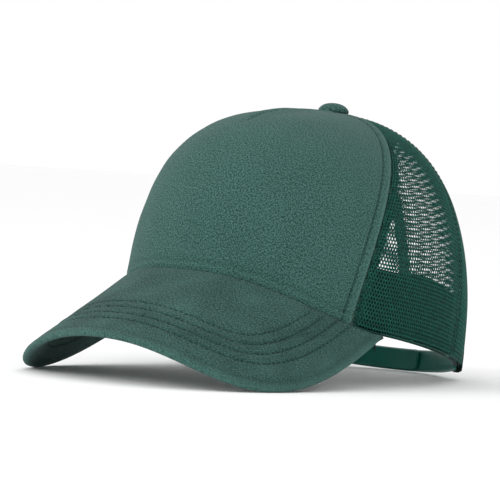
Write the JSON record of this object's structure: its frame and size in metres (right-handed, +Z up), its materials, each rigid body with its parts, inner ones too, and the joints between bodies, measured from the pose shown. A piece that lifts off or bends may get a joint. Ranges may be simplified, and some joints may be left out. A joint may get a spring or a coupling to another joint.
{
  "type": "mesh-back cap",
  "caption": "Cap with a cotton front panel and curved brim, open mesh sides and back, a covered top button and an adjustable snap strap across the rear arch.",
  "frame": {"origin": "on the floor under the middle of the cap's bounding box, the cap standing on the two wings of its brim and its rear strap", "axes": "+Z up, -Y towards the front of the brim, +X towards the wearer's left"},
  "size_m": [0.1736, 0.2679, 0.1463],
  "materials": {
    "cotton": "washed brushed cotton twill",
    "mesh": "open polyester mesh",
    "tape": "woven tape",
    "backing": "stiff woven backing",
    "sweatband": "brushed twill band",
    "board": "sheet plastic",
    "strap": "moulded, satin",
    "metal": "pressed sheet"
  },
  "bodies": {
    "crown": {"front_panel": "cotton", "front_buckram": "backing", "side_mesh_left": "mesh", "side_mesh_right": "mesh", "rear_mesh_left": "mesh", "rear_mesh_right": "mesh", "seam_tape_front_left": "tape", "seam_tape_front_right": "tape", "seam_tape_side_left": "tape", "seam_tape_side_right": "tape", "seam_tape_rear": "tape", "arch_binding": "tape", "hem_left": "tape", "hem_right": "tape", "sweatband": "sweatband", "brim_board": "board", "brim_top_cover": "cotton", "brim_bottom_cover": "cotton", "brim_edge": "cotton", "button_cover": "cotton", "button_core": "metal", "button_washer": "metal", "hole_strap_tab": "strap", "peg_strap_tab": "strap"},
    "hole_strap": {"hole_strap": "strap"},
    "peg_strap": {"peg_strap": "strap"}
  },
  "joints": [
    {"name": "hole_strap_swing", "type": "hinge", "parent": "crown", "child": "hole_strap", "pos_m": [0.0457, 0.11231, 0.00979], "axis": [0, 0, -1], "range_deg": [0, 50], "stiffness_Nm_per_rad": 0.01},
    {"name": "peg_strap_swing", "type": "hinge", "parent": "crown", "child": "peg_strap", "pos_m": [-0.0457, 0.11231, 0.00979], "axis": [0, 0, -1], "range_deg": [0, 45], "stiffness_Nm_per_rad": 0.01}
  ]
}
